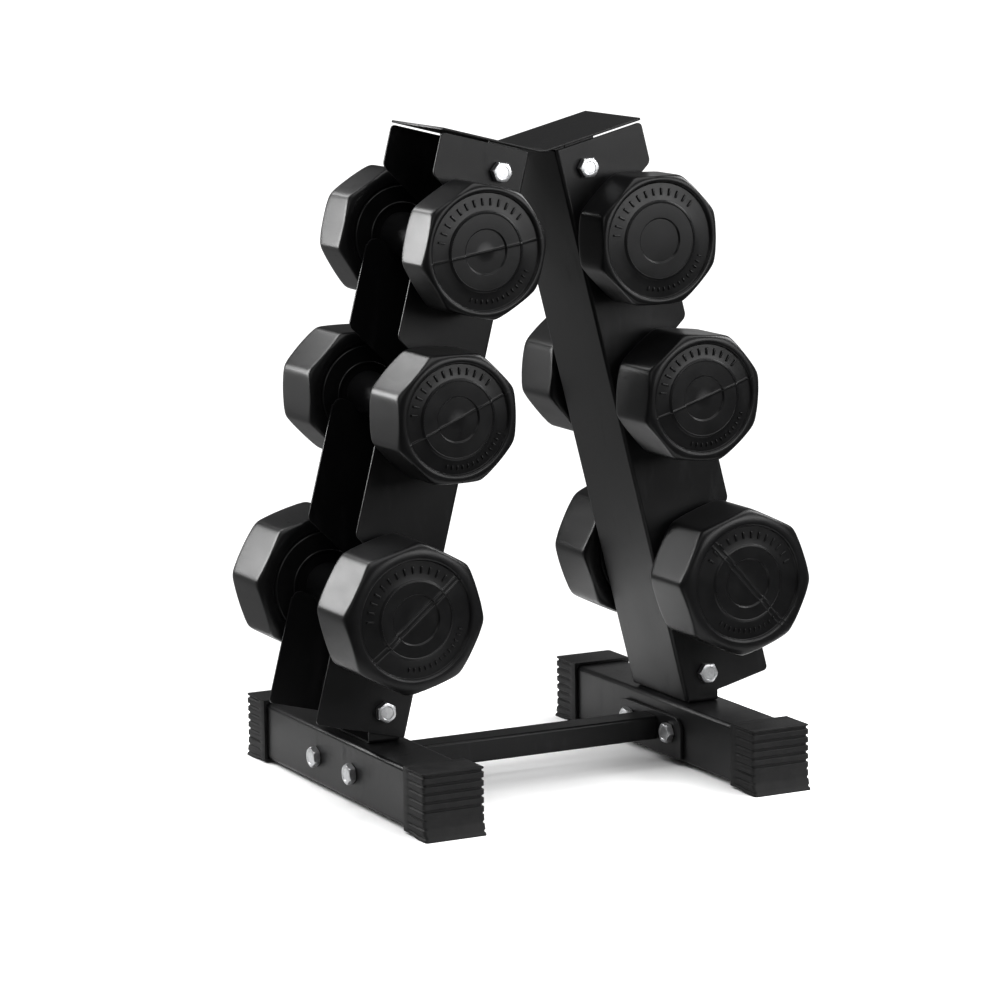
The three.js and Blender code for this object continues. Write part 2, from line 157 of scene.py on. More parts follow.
class Socket:
    """A value socket that turns Python arithmetic into Math nodes."""

    def __init__(self, shader, link):
        self.shader = shader
        self.link = link

    def math(self, operation, other=None, flip=False, clamp=False):
        values = [self] if other is None else [self, other]
        if flip:
            values.reverse()
        return self.shader.node("ShaderNodeMath", values, operation=operation, use_clamp=clamp)

    def __add__(self, other):
        return self.math("ADD", other)

    __radd__ = __add__

    def __mul__(self, other):
        return self.math("MULTIPLY", other)

    __rmul__ = __mul__

    def __sub__(self, other):
        return self.math("SUBTRACT", other)

    def __rsub__(self, other):
        return self.math("SUBTRACT", other, flip=True)


class Shader:
    """A new material and the nodes in it."""

    def __init__(self, name, **fixed):
        self.material = bpy.data.materials.new(name)
        self.material.use_nodes = True
        self.tree = self.material.node_tree
        self.surface = self.tree.nodes["Principled BSDF"]
        for key, value in fixed.items():
            self.surface.inputs[key.replace("_", " ")].default_value = value
        self.place = self.node("ShaderNodeTexCoord", [], output="Object")

    def node(self, kind, values, output=0, ramp=None, **settings):
        """Adds a node: its settings first, then its sockets in order or by name."""
        node = self.tree.nodes.new(kind)
        for key, value in settings.items():
            setattr(node, key, value)
        if ramp is not None:
            stops = node.color_ramp.elements
            while len(stops) < len(ramp):
                stops.new(0.5)
            for stop, (position, value) in zip(stops, ramp):
                stop.position = position
                stop.color = (value, value, value, 1)
        named = values.items() if isinstance(values, dict) else enumerate(values)
        for key, value in named:
            if isinstance(value, Socket):
                self.tree.links.new(value.link, node.inputs[key])
            else:
                node.inputs[key].default_value = value
        return Socket(self, node.outputs[output])

    def noise(self, scale, detail=2.0, roughness=0.5, stretch=None):
        """Fractal noise from 0 to 1; scale is in repeats for each metre."""
        place = self.place
        if stretch is not None:
            place = self.node("ShaderNodeMapping", {"Vector": place, "Scale": stretch})
        values = {"Vector": place, "Scale": scale, "Detail": detail, "Roughness": roughness}
        return self.node("ShaderNodeTexNoise", values, output="Fac")

    def cells(self, scale):
        """Distance to the nearest point of a random scatter."""
        values = {"Vector": self.place, "Scale": scale}
        return self.node("ShaderNodeTexVoronoi", values, output="Distance")

    def steps(self, value, *ramp):
        """Maps a value through stops of (position, brightness)."""
        return self.node("ShaderNodeValToRGB", [value], ramp=ramp, output="Color")

    def mix(self, factor, first, second):
        """Mixes two colours, given as tuples or sockets."""
        values = {"Factor": factor, "A": first, "B": second}
        for key in ("A", "B"):
            if isinstance(values[key], tuple):
                values[key] = (*values[key], 1)
        node = self.tree.nodes.new("ShaderNodeMix")
        node.data_type = "RGBA"
        colours = {"A": node.inputs[6], "B": node.inputs[7], "Factor": node.inputs[0]}
        for key, value in values.items():
            if isinstance(value, Socket):
                self.tree.links.new(value.link, colours[key])
            else:
                colours[key].default_value = value
        return Socket(self, node.outputs[2])

    def set(self, key, value):
        self.tree.links.new(value.link, self.surface.inputs[key])

    def bump(self, height, distance, strength=1.0):
        values = {"Height": height, "Distance": distance, "Strength": strength}
        self.set("Normal", self.node("ShaderNodeBump", values, output="Normal"))


# ---- finishes --------------------------------------------------------------------

def powder_coat():
    """Black satin powder coat: orange peel, slight haze, a few rubbed and dusty spots."""
    coat = Shader("powder_coat", Specular_IOR_Level=0.26)
    peel = coat.noise(900, 2)
    fine = coat.noise(3800, 1)
    haze = coat.noise(9, 4, 0.6)
    rubs = coat.steps(coat.noise(60, 5, 0.7, stretch=(1, 1, 0.25)), (0.56, 0), (0.72, 1))
    tone = coat.mix(haze, (0.0040, 0.0040, 0.0043), (0.0075, 0.0075, 0.0079))
    coat.set("Base Color", coat.mix(rubs * 0.35, tone, (0.020, 0.020, 0.021)))
    coat.set("Roughness", haze * 0.20 + peel * 0.08 + rubs * 0.10 + 0.23)
    coat.bump(peel * 0.8 + fine * 0.2, 0.00014, 0.5)
    return coat.material


def moulded_vinyl():
    """Black moulded skin of the dumbbells: satin, with faint flow marks and scuffs."""
    vinyl = Shader("moulded_vinyl", Specular_IOR_Level=0.24)
    grain = vinyl.noise(2600, 2)
    flow = vinyl.noise(38, 4, 0.6, stretch=(1, 0.35, 1))
    scuffs = vinyl.steps(vinyl.noise(150, 6, 0.75, stretch=(1, 0.5, 2.2)), (0.60, 0), (0.72, 1))
    tone = vinyl.mix(flow, (0.0030, 0.0030, 0.0033), (0.0090, 0.0090, 0.0094))
    vinyl.set("Base Color", vinyl.mix(scuffs * 0.4, tone, (0.020, 0.020, 0.021)))
    vinyl.set("Roughness", flow * 0.20 + grain * 0.05 + scuffs * 0.12 + 0.20)
    vinyl.bump(grain * 0.5 + flow * 0.5, 0.00006, 0.5)
    return vinyl.material


def plug_plastic():
    """Harder, duller plastic of the filling plugs, with a fine grain and patches."""
    plastic = Shader("plug_plastic", Specular_IOR_Level=0.45)
    grain = plastic.noise(1800, 3)
    patch = plastic.noise(45, 3)
    plastic.set("Base Color", plastic.mix(patch, (0.008, 0.008, 0.009), (0.014, 0.014, 0.015)))
    plastic.set("Roughness", patch * 0.12 + grain * 0.08 + 0.38)
    plastic.bump(grain, 0.00008, 0.5)
    return plastic.material


def cap_rubber():
    """Matte rubber of the end caps, with a sandy grain and patches of dust."""
    rubber = Shader("cap_rubber", Specular_IOR_Level=0.2)
    grain = rubber.noise(1300, 4, 0.7)
    sand = rubber.cells(900)
    dust = rubber.steps(rubber.noise(70, 5, 0.7), (0.42, 0), (0.78, 1))
    tone = rubber.mix(grain, (0.005, 0.005, 0.0053), (0.011, 0.011, 0.0113))
    rubber.set("Base Color", rubber.mix(dust * 0.3, tone, (0.035, 0.0345, 0.034)))
    rubber.set("Roughness", grain * 0.14 + dust * 0.12 + 0.48)
    rubber.bump(grain * 0.7 + sand * 0.3, 0.00022, 0.6)
    return rubber.material


def bright_zinc():
    """Bright zinc plate of the bolts and nuts, with fine forging marks."""
    zinc = Shader("bright_zinc", Metallic=1.0)
    cloud = zinc.noise(420, 4, 0.65)
    pits = zinc.noise(2400, 3)
    stain = zinc.steps(zinc.noise(160, 4, 0.6), (0.5, 0), (0.85, 1))
    tone = zinc.mix(cloud, (0.30, 0.305, 0.315), (0.62, 0.625, 0.63))
    zinc.set("Base Color", zinc.mix(stain * 0.5, tone, (0.34, 0.33, 0.31)))
    zinc.set("Roughness", cloud * 0.18 + stain * 0.10 + 0.30)
    zinc.bump(cloud * 0.6 + pits * 0.4, 0.00012, 0.5)
    return zinc.material


def cast_cement():
    """Grey cement inside the dumbbells, with sand grains and pores; the pores are sunk by the
    bump and darkened with painted shade.
    """
    cement = Shader("cast_cement")
    grains = cement.cells(700)
    cloud = cement.noise(60, 5, 0.6)
    pores_and_painted_shade = cement.steps(cement.noise(420, 3), (0.62, 0), (0.70, 1))
    tone = cement.mix(cloud, (0.20, 0.195, 0.185), (0.34, 0.33, 0.315))
    # painted shade: the pores are darkened in the colour, besides their dents in the bump
    cement.set("Base Color", cement.mix(pores_and_painted_shade, tone, (0.10, 0.098, 0.094)))
    cement.set("Roughness", cloud * 0.12 + 0.82)
    cement.bump(grains - pores_and_painted_shade, 0.0004, 0.6)
    return cement.material


def studio_paper():
    """The pale floor."""
    paper = Shader("studio_paper", Specular_IOR_Level=0.2)
    cloud = paper.noise(3, 3)
    paper.set("Base Color", paper.mix(cloud, (0.90, 0.90, 0.90), (0.93, 0.93, 0.93)))
    paper.set("Roughness", cloud * 0.1 + 0.7)
    return paper.material


POWDER = powder_coat()
VINYL = moulded_vinyl()
PLUG = plug_plastic()
RUBBER = cap_rubber()
ZINC = bright_zinc()
CEMENT = cast_cement()


# ---- modelling by hand -----------------------------------------------------------

def select_only(*pieces):
    bpy.ops.object.select_all(action="DESELECT")
    for piece in pieces:
        piece.select_set(True)
    bpy.context.view_layer.objects.active = pieces[0]


def edit(piece, mode):
    """Opens the piece for editing, with nothing selected, picking by mode."""
    select_only(piece)
    bpy.ops.object.mode_set(mode="EDIT")
    bpy.ops.mesh.select_mode(type=mode)
    bpy.ops.mesh.select_all(action="DESELECT")


def done():
    bpy.ops.object.mode_set(mode="OBJECT")


def pick(piece, mode, chosen):
    """Selects the vertices, edges or faces that chosen(element) says yes to."""
    edit(piece, mode)
    bpy.ops.object.mode_set(mode="OBJECT")
    parts = {"VERT": piece.data.vertices, "EDGE": piece.data.edges, "FACE": piece.data.polygons}
    for part in parts[mode]:
        part.select = chosen(part)
    bpy.ops.object.mode_set(mode="EDIT")


def ends_of(piece, edge):
    a, b = (piece.data.vertices[i].co for i in edge.vertices)
    return a, b


def runs_along(piece, edge, direction):
    a, b = ends_of(piece, edge)
    return abs((b - a).normalized().dot(direction)) > 0.999


def middle_of(piece, edge):
    a, b = ends_of(piece, edge)
    return (a + b) / 2


def apply(piece, kind, **settings):
    """Adds a modifier with these settings and applies it."""
    select_only(piece)
    modifier = piece.modifiers.new(kind.lower(), kind)
    for key, value in settings.items():
        setattr(modifier, key, value)
    bpy.ops.object.modifier_apply(modifier=modifier.name)


WIDE = 2 * MM                 # area over border of a face that stays flat in the shading


def soften(piece, width, segments=2, angle=30):
    """Breaks the sharp edges and shades all but the wide flat faces smooth."""
    apply(piece, "BEVEL", width=width, segments=segments, limit_method="ANGLE",
          angle_limit=math.radians(angle), harden_normals=False, miter_outer="MITER_ARC")
    select_only(piece)
    bpy.ops.object.shade_smooth_by_angle(angle=math.radians(angle))
    for face in piece.data.polygons:
        corners = [piece.data.vertices[i].co for i in face.vertices]
        border = sum((a - b).length for a, b in zip(corners, corners[1:] + corners[:1]))
        if face.area > WIDE * border:
            face.use_smooth = False


def clean(piece, distance=0.00001):
    """Merges doubles and turns all faces outwards."""
    edit(piece, "VERT")
    bpy.ops.mesh.select_all(action="SELECT")
    bpy.ops.mesh.remove_doubles(threshold=distance)
    bpy.ops.mesh.normals_make_consistent(inside=False)
    done()


def settle(piece):
    """Bakes the piece's place and turn into its mesh."""
    select_only(piece)
    bpy.ops.object.transform_apply(location=True, rotation=True, scale=True)


def cube(name, low, high):
    """A primitive cube from its lowest to its highest corner."""
    low, high = Vector(low), Vector(high)
    bpy.ops.object.select_all(action="DESELECT")
    bpy.ops.mesh.primitive_cube_add(size=1, location=(low + high) / 2)
    piece = bpy.context.object
    piece.name = name
    piece.scale = high - low
    settle(piece)
    return piece


def outline(name, points):
    """One vertex, extruded from point to point into an open chain of edges."""
    bpy.ops.object.select_all(action="DESELECT")
    bpy.ops.mesh.primitive_plane_add(size=MM, location=(0, 0, 0))
    piece = bpy.context.object
    piece.name = name
    bpy.ops.object.mode_set(mode="EDIT")
    bpy.ops.mesh.select_mode(type="VERT")
    bpy.ops.mesh.select_all(action="SELECT")
    bpy.ops.mesh.merge(type="CENTER")
    last = Vector((0, 0, 0))
    for i, point in enumerate(points):
        step = Vector(point) - last
        if i == 0:
            bpy.ops.transform.translate(value=step)
        else:
            bpy.ops.mesh.extrude_region_move(TRANSFORM_OT_translate={"value": step})
        last = Vector(point)
    done()
    return piece


def plate(name, points, thickness):
    """A closed outline filled and extruded by the vector thickness."""
    piece = outline(name, points)
    edit(piece, "VERT")
    bpy.ops.mesh.select_all(action="SELECT")
    bpy.ops.mesh.edge_face_add()
    bpy.ops.mesh.extrude_region_move(TRANSFORM_OT_translate={"value": thickness})
    done()
    clean(piece)
    return piece


def rod(name, radius, start, end, sides=40):
    """A round cutter or pin between two points."""
    start, end = Vector(start), Vector(end)
    bpy.ops.object.select_all(action="DESELECT")
    bpy.ops.mesh.primitive_cylinder_add(vertices=sides, radius=radius,
                                        depth=(end - start).length)
    piece = bpy.context.object
    piece.name = name
    turn = (end - start).to_track_quat("Z", "Y").to_matrix().to_4x4()
    piece.matrix_world = Matrix.Translation((start + end) / 2) @ turn
    settle(piece)
    return piece


def combine(piece, other, operation="DIFFERENCE"):
    """A boolean with another piece, which is used up."""
    apply(piece, "BOOLEAN", object=other, operation=operation, solver="EXACT")
    bpy.data.objects.remove(other)


def finish(piece, name, look, body, *nodes):
    """Names, paints and mounts a finished piece in place of its CAD nodes."""
    piece.name = name
    piece.data.name = name
    piece.data.materials.clear()
    piece.data.materials.append(look)
    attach(piece, body)
    if nodes:
        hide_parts(*nodes)
    return piece


def copy_of(master, move):
    """Another piece with a mesh of its own, moved or mirrored by a matrix."""
    piece = bpy.data.objects.new(master.name, master.data.copy())
    bpy.context.scene.collection.objects.link(piece)
    piece.data.transform(move)
    if move.determinant() < 0:
        piece.data.flip_normals()
    return piece


def arc(centre, radius, start, end, steps):
    """Points of an arc in a plane, from one angle to another in degrees."""
    a, b = centre
    angles = [math.radians(start + (end - start) * i / steps) for i in range(steps + 1)]
    return [(a + radius * math.cos(t), b + radius * math.sin(t)) for t in angles]


MIRROR_X = Matrix.Scale(-1, 4, (1, 0, 0))
MIRROR_Y = Matrix.Scale(-1, 4, (0, 1, 0))


def mirror(side=1, end=1):
    move = Matrix.Identity(4)
    if side < 0:
        move = MIRROR_X @ move
    if end < 0:
        move = MIRROR_Y @ move
    return move


# ---- towers ----------------------------------------------------------------------

LEAN = math.radians(14.3)
SHEET = 2.5 * MM
BEND = 3.6 * MM               # outer radius of the sheet's bends
TOWER_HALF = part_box("upright.right")[1].y
TOWER_DEPTH = 101.3 * MM
TOWER_LENGTH = 601.5 * MM
TOOTH_TOP = Vector((112.5 * MM, 0, 674.6 * MM))   # upper end of the right toothed edge
DOWN = Vector((math.sin(LEAN), 0, -math.cos(LEAN)))
INWARD = Vector((-math.cos(LEAN), 0, -math.sin(LEAN)))
ACROSS = Vector((0, 1, 0))

SEAT = 17.2 * MM              # radius of a notch's round seat
MOUTH_RISE = 73 * MM          # top of a notch above the handle's axis
LIP_DROP = 1 * MM
LIP_CORNER = 7 * MM
RAMP = math.radians(29)
CUT_CLEAR = 30 * MM
TIP_ROUND = 4.5 * MM          # rounded tooth tips

BORE = 6.4 * MM
BOLT = 6 * MM


def on_tower(inward, down):
    return TOOTH_TOP + INWARD * inward + DOWN * down


def axis_of(tier, side="right"):
    """The middle of a dumbbell, from the frame."""
    low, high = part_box(f"dumbbell.{tier}_{side}.plug")
    return Vector(((low.x + high.x) / 2, 0, (low.z + high.z) / 2))


def bolt_axis(node):
    low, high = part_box(node)
    return (low + high) / 2


def edge_at(z):
    return TOOTH_TOP.x + (TOOTH_TOP.z - z) * math.tan(LEAN)


def notch_cutter(tier):
    """The space of one notch: a slope, a wall, a round seat, a ramp and a lip."""
    axis = axis_of(tier)
    mouth_z = axis.z + MOUTH_RISE
    mouth_x = edge_at(mouth_z)
    wall_x = axis.x - SEAT
    lip_z = axis.z - LIP_DROP
    lip_x = edge_at(lip_z)
    seat = arc((axis.x, axis.z), SEAT, 180, 270 + math.degrees(RAMP), 20)
    ramp_end = Vector(seat[-1])
    ramp_top_x = ramp_end.x + (lip_z - ramp_end.y) / math.tan(RAMP)
    lip = arc((lip_x - LIP_CORNER, lip_z - LIP_CORNER), LIP_CORNER, 90, 15, 8)
    points = [(mouth_x + CUT_CLEAR, mouth_z + CUT_CLEAR),
              (wall_x, mouth_z - (mouth_x - wall_x)), *seat,
              (ramp_top_x, lip_z), *lip,
              (lip_x + CUT_CLEAR, lip_z - LIP_CORNER)]
    y = -TOWER_HALF - 5 * MM
    return plate("notch_cutter", [(x, y, z) for x, z in points], (0, -2 * y, 0))


def tower():
    """The right tower: one bent sheet with a web and two toothed flanges."""
    corners = [on_tower(0, 0), on_tower(TOWER_DEPTH, 0),
               on_tower(TOWER_DEPTH, TOWER_LENGTH), on_tower(0, TOWER_LENGTH)]
    half = Vector((0, TOWER_HALF, 0))
    piece = plate("tower", [corner - half for corner in corners], 2 * half)
    for open_side in (-INWARD, DOWN, -DOWN):
        pick(piece, "FACE", lambda face: face.normal.dot(open_side) > 0.999)
        bpy.ops.mesh.delete(type="ONLY_FACE")
        done()
    pick(piece, "EDGE", lambda edge: runs_along(piece, edge, DOWN)
         and (middle_of(piece, edge) - TOOTH_TOP).dot(INWARD) > TOWER_DEPTH / 2)
    bpy.ops.mesh.bevel(offset=BEND, segments=6, affect="EDGES")
    done()
    apply(piece, "SOLIDIFY", thickness=SHEET, offset=-1, use_even_offset=True)
    for tier in TIERS:
        combine(piece, notch_cutter(tier))
    for node in ("bolt.top_right_front", "bolt.low_right_front"):
        centre = bolt_axis(node)
        reach = Vector((0, TOWER_HALF + 5 * MM, 0))
        centre.y = 0
        combine(piece, rod("bore", BORE, centre - reach, centre + reach))
    clean(piece)
    pick(piece, "EDGE", lambda edge: runs_along(piece, edge, ACROSS) and is_tip(piece, edge))
    bpy.ops.mesh.bevel(offset=TIP_ROUND, segments=6, affect="EDGES", clamp_overlap=True)
    done()
    soften(piece, 0.45 * MM, 2)
    return piece


def is_tip(piece, edge):
    """A square corner of a flange at its toothed edge, through the sheet."""
    place = middle_of(piece, edge)
    from_tooth = (place - TOOTH_TOP).dot(INWARD)
    below = (place - TOOTH_TOP).dot(DOWN)
    a, b = ends_of(piece, edge)
    through = (b - a).length < 2 * SHEET
    mouths = [axis_of(tier).z + MOUTH_RISE for tier in TIERS]
    at_mouth = any(abs(place.z - mouth) < 2 * MM for mouth in mouths)
    at_end = below < MM or below > TOWER_LENGTH - MM
    return through and abs(from_tooth) < 0.5 * MM and (at_mouth or at_end)


def build_towers():
    master = tower()
    for side, sign in SIDES.items():
        piece = copy_of(master, mirror(side=sign))
        finish(piece, f"tower_{side}", POWDER, "rack", f"upright.{side}")
    bpy.data.objects.remove(master)


# ---- top joiner and brackets -----------------------------------------------------

JOINER_GAP = 2 * MM           # plate above the cut ends of the towers
EAR_HALF = 17 * MM
EAR_CORNER = 5 * MM
FOLD = 4 * MM                 # radius of the fold over the middle
TOP_BOLT_IN = 72 * MM
TOP_BOLT_DOWN = 26 * MM
TOP_EAR_DOWN = 44 * MM


def joiner():
    """The V plate over both towers, its ears inside the flanges."""
    def layer(down):
        outer = on_tower(0, down)
        valley = outer.z - outer.x * math.tan(LEAN)
        right = [(outer.x, outer.z), (FOLD, valley + FOLD * math.tan(LEAN))]
        left = [(-x, z) for x, z in reversed(right)]
        return right + left
    top = layer(-JOINER_GAP - SHEET)
    under = layer(-JOINER_GAP)
    points = top + list(reversed(under))
    piece = plate("joiner", [(x, -TOWER_HALF, z) for x, z in points], (0, 2 * TOWER_HALF, 0))
    ear_outer = TOWER_HALF - SHEET - 0.3 * MM
    for sign in SIDES.values():
        for end in ENDS.values():
            start = -JOINER_GAP - SHEET / 2
            shape = [on_tower(TOP_BOLT_IN - EAR_HALF, start),
                     on_tower(TOP_BOLT_IN + EAR_HALF, start),
                     on_tower(TOP_BOLT_IN + EAR_HALF, TOP_EAR_DOWN),
                     on_tower(TOP_BOLT_IN - EAR_HALF, TOP_EAR_DOWN)]
            lift = Vector((0, ear_outer - SHEET, 0))
            ear = plate("ear", [point + lift for point in shape], (0, SHEET, 0))
            pick(ear, "EDGE", lambda edge: runs_along(ear, edge, ACROSS)
                 and (middle_of(ear, edge) - TOOTH_TOP).dot(DOWN) > TOP_EAR_DOWN / 2)
            bpy.ops.mesh.bevel(offset=EAR_CORNER, segments=6, affect="EDGES")
            done()
            centre = on_tower(TOP_BOLT_IN, TOP_BOLT_DOWN)
            reach = Vector((0, TOWER_HALF + 5 * MM, 0))
            combine(ear, rod("bore", BORE, centre, centre + reach))
            ear.data.transform(mirror(sign, end))
            clean(ear)
            combine(piece, ear, "UNION")
    clean(piece)
    soften(piece, 0.45 * MM, 2)
    finish(piece, "top_joiner", POWDER, "rack", "top.joiner")


def bracket():
    """The U bracket on the right foot: a bent strip with a bored ear at each end."""
    low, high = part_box("bracket.right")
    shape = [(low.x, low.y, high.z), (low.x, low.y, low.z),
             (low.x, high.y, low.z), (low.x, high.y, high.z)]
    piece = outline("bracket", shape)
    edit(piece, "EDGE")
    bpy.ops.mesh.select_all(action="SELECT")
    bpy.ops.mesh.extrude_region_move(TRANSFORM_OT_translate={"value": (high.x - low.x, 0, 0)})
    done()
    clean(piece)
    lengthwise = Vector((1, 0, 0))
    pick(piece, "EDGE", lambda edge: runs_along(piece, edge, lengthwise)
         and middle_of(piece, edge).z < low.z + MM)
    bpy.ops.mesh.bevel(offset=BEND, segments=6, affect="EDGES")
    done()
    turn_faces_from(piece, (low + high) / 2)
    apply(piece, "SOLIDIFY", thickness=SHEET, offset=-1, use_even_offset=True)
    pick(piece, "EDGE", lambda edge: runs_along(piece, edge, ACROSS)
         and middle_of(piece, edge).z > high.z - MM)
    bpy.ops.mesh.bevel(offset=EAR_CORNER, segments=6, affect="EDGES")
    done()
    centre = bolt_axis("bolt.low_right_front")
    centre.y = 0
    reach = Vector((0, TOWER_HALF + 5 * MM, 0))
    combine(piece, rod("bore", BORE, centre - reach, centre + reach))
    clean(piece)
    soften(piece, 0.4 * MM, 2)
    return piece


def turn_faces_from(piece, centre):
    """Points the faces of an open sheet away from a centre."""
    mesh = piece.data
    for face in mesh.polygons:
        if face.normal.dot(face.center - centre) < 0:
            face.flip()
    mesh.update()


def build_brackets():
    master = bracket()
    for side, sign in SIDES.items():
        piece = copy_of(master, mirror(side=sign))
        finish(piece, f"bracket_{side}", POWDER, "rack", f"bracket.{side}")
    bpy.data.objects.remove(master)


# ---- feet and crossbar -----------------------------------------------------------

TUBE_WALL = 2.5 * MM
TUBE_CORNER = 4.2 * MM
BAR_WALL = 2 * MM
BAR_CORNER = 3 * MM
PLATE_CORNER = 14 * MM


def square_tube(name, node, along, wall, corner):
    """A tube with rounded corners in place of a CAD node, open at both ends."""
    low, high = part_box(node)
    piece = cube(name, low, high)
    for direction in (along, -along):
        pick(piece, "FACE", lambda face: face.normal.dot(direction) > 0.999)
        bpy.ops.mesh.delete(type="ONLY_FACE")
        done()
    pick(piece, "EDGE", lambda edge: runs_along(piece, edge, along))
    bpy.ops.mesh.bevel(offset=corner, segments=6, affect="EDGES")
    done()
    apply(piece, "SOLIDIFY", thickness=wall, offset=-1, use_even_offset=True)
    return piece


def build_feet():
    for side in SIDES:
        piece = square_tube("tube", f"foot.{side}.tube", ACROSS, TUBE_WALL, TUBE_CORNER)
        for end in ENDS:
            centre = bolt_axis(f"nut.foot_{side}_{end}")
            reach = Vector((100 * MM, 0, 0))
            combine(piece, rod("bore", BORE, centre - reach, centre + reach))
        soften(piece, 0.35 * MM, 2)
        finish(piece, f"foot_{side}_tube", POWDER, "rack", f"foot.{side}.tube")


def build_crossbar():
    lengthwise = Vector((1, 0, 0))
    piece = square_tube("bar", "crossbar.tube", lengthwise, BAR_WALL, BAR_CORNER)
    soften(piece, 0.3 * MM, 2)
    finish(piece, "crossbar_tube", POWDER, "rack", "crossbar.tube")
    for side in SIDES:
        node = f"crossbar.plate_{side}"
        low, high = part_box(node)
        piece = cube("plate", low, high)
        pick(piece, "EDGE", lambda edge: runs_along(piece, edge, lengthwise)
             and middle_of(piece, edge).z > high.z - MM)
        bpy.ops.mesh.bevel(offset=PLATE_CORNER, segments=10, affect="EDGES")
        done()
        pick(piece, "EDGE", lambda edge: runs_along(piece, edge, lengthwise)
             and middle_of(piece, edge).z < low.z + MM)
        bpy.ops.mesh.bevel(offset=3 * MM, segments=4, affect="EDGES")
        done()
        for end in ENDS:
            centre = bolt_axis(f"nut.foot_{side}_{end}")
            reach = Vector((100 * MM, 0, 0))
            combine(piece, rod("bore", BORE, centre - reach, centre + reach))
        soften(piece, 0.5 * MM, 3)
        finish(piece, f"crossbar_plate_{side}", POWDER, "rack", node)


# ---- end caps --------------------------------------------------------------------

GROOVES = 8                   # down the sides; the upper ones run round the face too
FACE_GROOVES = 5
GROOVE_PITCH = 8.6 * MM
GROOVE_FIRST = 3.2 * MM       # middle of the top groove below the cap's top
GROOVE_HALF = 1.9 * MM
GROOVE_DEPTH = 1.4 * MM
GROOVE_FROM = 9 * MM          # plain band behind the open edge
GROOVE_FADE = 7 * MM
FACE_DEEPER = 1.25            # grooves in the face against those in the sides
CAP_CORNER = 3.2 * MM
CAP_SWELL = 20 * MM           # the face leaves the upright below this height
CAP_FACE = 213 * MM
SOLE_LENGTH = 30 * MM         # the underside curves up behind this
SOLE_LIFT = 2.4 * MM
SOCKET_GAP = 0.3 * MM


def end_cap():
    """The push-on rubber cap at the rear end of the right foot."""
    low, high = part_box("foot.right.cap_rear")
    tube_low, tube_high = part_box("foot.right.tube")
    toe = high.y - CAP_FACE
    high.y = CAP_FACE
    middle_x = (low.x + high.x) / 2
    piece = cube("cap", low, high)
    pick(piece, "EDGE", lambda edge: runs_along(piece, edge, Vector((0, 0, 1)))
         and middle_of(piece, edge).y > high.y - MM)
    bpy.ops.mesh.bevel(offset=CAP_CORNER, segments=5, affect="EDGES")
    done()
    levels = [CAP_SWELL * i / 6 for i in range(1, 7)]
    for i in range(GROOVES):
        centre = high.z - GROOVE_FIRST - i * GROOVE_PITCH
        half_steps = (-1, -0.45, 0.45, 1)
        levels += [centre + GROOVE_HALF * k for k in half_steps]
    for z in levels:
        if low.z + 0.1 * MM < z < high.z - 0.1 * MM:
            slice_at(piece, (0, 0, z), (0, 0, 1))
    cuts = [low.y + GROOVE_FROM + GROOVE_FADE * i / 3 for i in range(4)]
    cuts += [high.y - SOLE_LENGTH + SOLE_LENGTH * i / 8 for i in range(7)]
    for y in cuts:
        slice_at(piece, (0, y, 0), (0, 1, 0))
    shape_cap(piece, low, high, middle_x, toe)
    clean(piece)
    pick(piece, "FACE", lambda face: face.normal.y < -0.9 and face.center.y < low.y + MM)
    bpy.ops.mesh.dissolve_faces()
    bpy.ops.mesh.delete(type="ONLY_FACE")
    done()
    return add_socket(piece, low, tube_low, tube_high)


def slice_at(piece, place, normal):
    edit(piece, "VERT")
    bpy.ops.mesh.select_all(action="SELECT")
    bpy.ops.mesh.bisect(plane_co=place, plane_no=normal, use_fill=False)
    done()


def shape_cap(piece, low, high, middle_x, toe):
    """Presses the grooves in, swells the foot of the face and lifts the sole behind."""
    half = (high.x - low.x) / 2
    for vertex in piece.data.vertices:
        place = vertex.co
        x, y, z = place
        depth = GROOVE_DEPTH * groove_at(high.z - z)
        fade = min(1, max(0, (y - low.y - GROOVE_FROM) / GROOVE_FADE))
        place.x = middle_x + (x - middle_x) * (1 - depth * fade / half)
        upper = high.z - z < (FACE_GROOVES - 0.3) * GROOVE_PITCH
        if y > high.y - CAP_CORNER - 0.1 * MM and upper:
            place.y -= depth * FACE_DEEPER
        if z < CAP_SWELL:
            share = (1 - z / CAP_SWELL) ** 2
            near_face = max(0, (y - high.y + SOLE_LENGTH) / SOLE_LENGTH)
            place.y += toe * share * near_face
        if z < 12 * MM:
            behind = min(1, max(0, (high.y - SOLE_LENGTH / 2 - y) / (SOLE_LENGTH / 2)))
            wave = behind * behind * (3 - 2 * behind)
            place.z += SOLE_LIFT * wave * (1 - z / (12 * MM))


def groove_at(below_top):
    """1 in the middle of a groove and 0 between grooves."""
    number = round((below_top - GROOVE_FIRST) / GROOVE_PITCH)
    if number < 0 or number >= GROOVES:
        return 0
    off = abs(below_top - GROOVE_FIRST - number * GROOVE_PITCH)
    return 1 if off < GROOVE_HALF * 0.6 else 0


def add_socket(piece, low, tube_low, tube_high):
    """Closes the open end with a rim and sinks the socket for the tube into it."""
    edit(piece, "EDGE")
    bpy.ops.mesh.select_non_manifold(extend=False)
    bpy.ops.mesh.edge_face_add()
    done()
    clean(piece)
    gap = Vector((SOCKET_GAP, SOCKET_GAP, SOCKET_GAP))
    socket_low = tube_low - gap
    socket_high = tube_high + gap
    socket_low.y = low.y - 5 * MM
    cutter = cube("socket", socket_low, socket_high)
    pick(cutter, "EDGE", lambda edge: runs_along(cutter, edge, ACROSS))
    bpy.ops.mesh.bevel(offset=TUBE_CORNER * 0.8, segments=5, affect="EDGES")
    done()
    combine(piece, cutter)
    clean(piece)
    soften(piece, 0.5 * MM, 2, 28)
    return piece


